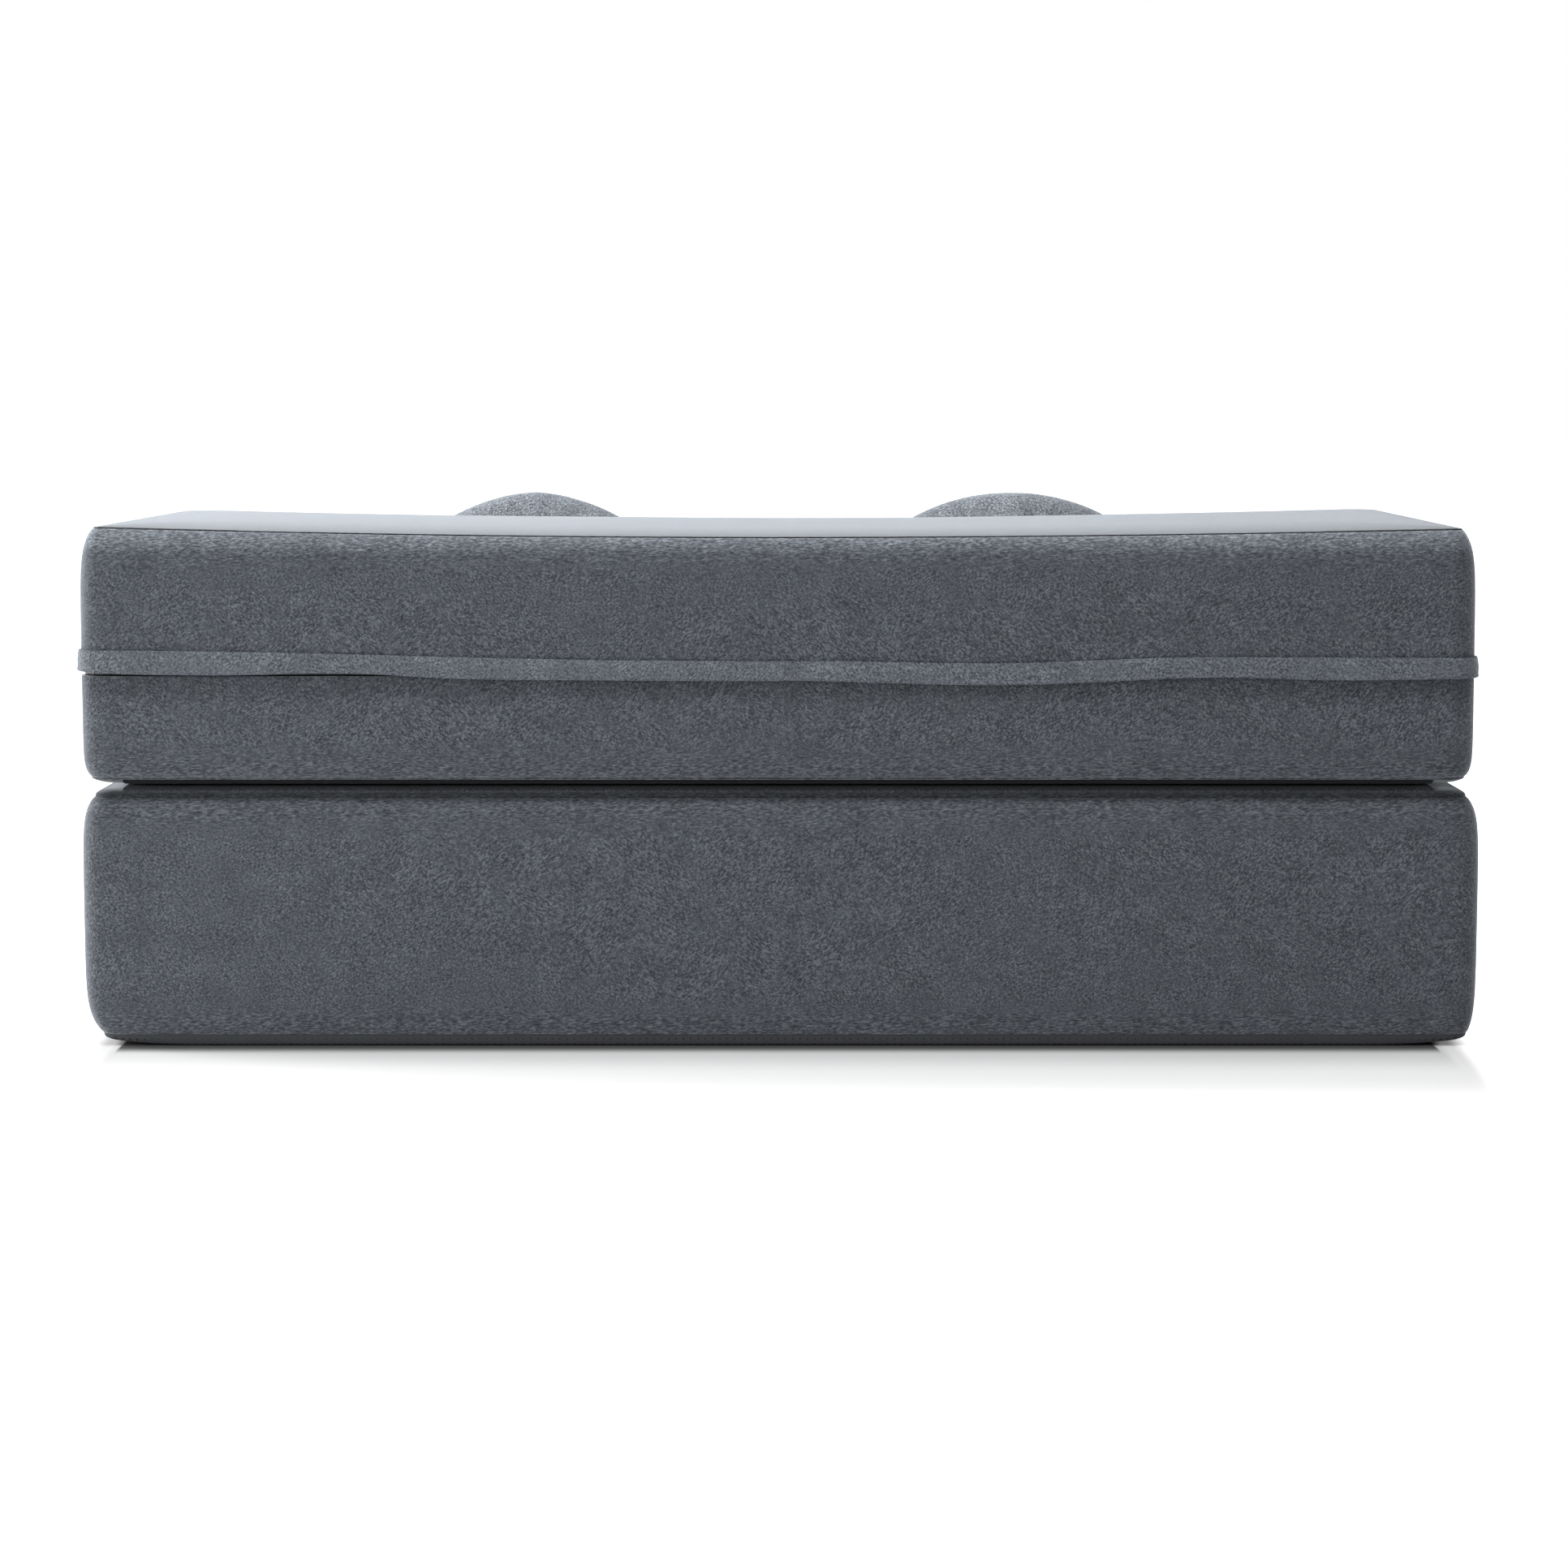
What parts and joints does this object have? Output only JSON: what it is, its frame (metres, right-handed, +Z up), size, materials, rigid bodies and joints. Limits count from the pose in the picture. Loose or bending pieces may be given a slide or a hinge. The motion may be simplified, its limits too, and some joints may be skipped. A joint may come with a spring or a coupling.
{
  "type": "folding sofa bed",
  "caption": "Low folding foam sofa bed in blue-grey plush: a wide base, a back section that turns over behind it to make a bed, and two loose pillows.",
  "frame": {"origin": "on the floor, under the middle of the whole object at rest", "axes": "+X along the width, towards the left of someone sitting on it; -Y towards the front; +Z up"},
  "size_m": [1.5292, 1.3036, 0.5924],
  "materials": {
    "plush": "short blue-grey pile",
    "grip_fabric": "dotted non-slip underside fabric",
    "liner_fabric": "thin white knitted liner",
    "support_foam": "cut polyurethane foam",
    "comfort_foam": "cut soft foam",
    "pillow_fibre": "white polyester fibre",
    "zip_tape": "woven polyester tape",
    "zip_coil": "nylon coil",
    "zip_metal": "die-cast and plated"
  },
  "bodies": {
    "base": {"base_top_panel": "plush", "base_side_band": "plush", "base_bottom_panel": "grip_fabric", "base_liner": "liner_fabric", "base_comfort_foam": "comfort_foam", "base_support_foam": "support_foam"},
    "hinge": {"hinge_strip": "plush"},
    "back": {"back_top_panel": "plush", "back_side_band": "plush", "back_bottom_panel": "plush", "back_liner": "liner_fabric", "back_comfort_foam": "comfort_foam", "back_support_foam": "support_foam", "back_zip_upper_tape": "zip_tape", "back_zip_lower_tape": "zip_tape", "back_zip_upper_coil": "zip_coil", "back_zip_lower_coil": "zip_coil", "back_zip_stops": "zip_metal", "back_zip_flap": "plush"},
    "slider": {"back_zip_slider": "zip_metal"},
    "pillow_left": {"pillow_left_cover": "plush", "pillow_left_filling": "pillow_fibre"},
    "pillow_right": {"pillow_right_cover": "plush", "pillow_right_filling": "pillow_fibre"}
  },
  "joints": [
    {"name": "strip_fold", "type": "hinge", "parent": "base", "child": "hinge", "pos_m": [0, 0.63818, 0.269], "axis": [-1, 0, 0], "range_deg": [0, 90]},
    {"name": "back_fold", "type": "hinge", "parent": "hinge", "child": "back", "pos_m": [0, 0.63818, 0.2974], "axis": [-1, 0, 0], "range_deg": [0, 90]},
    {"name": "zip_slide", "type": "slide", "parent": "back", "child": "slider", "axis": [0, 1, 0], "range_m": [0, 0.376]},
    {"name": "pillow_left_lift", "type": "slide", "parent": "base", "child": "pillow_left", "axis": [0, 0, 1], "range_m": [0, 0.45]},
    {"name": "pillow_right_lift", "type": "slide", "parent": "base", "child": "pillow_right", "axis": [0, 0, 1], "range_m": [0, 0.45]}
  ],
  "couplings": [
    {"joint": "strip_fold", "follows": "back_fold", "ratio": 1}
  ]
}
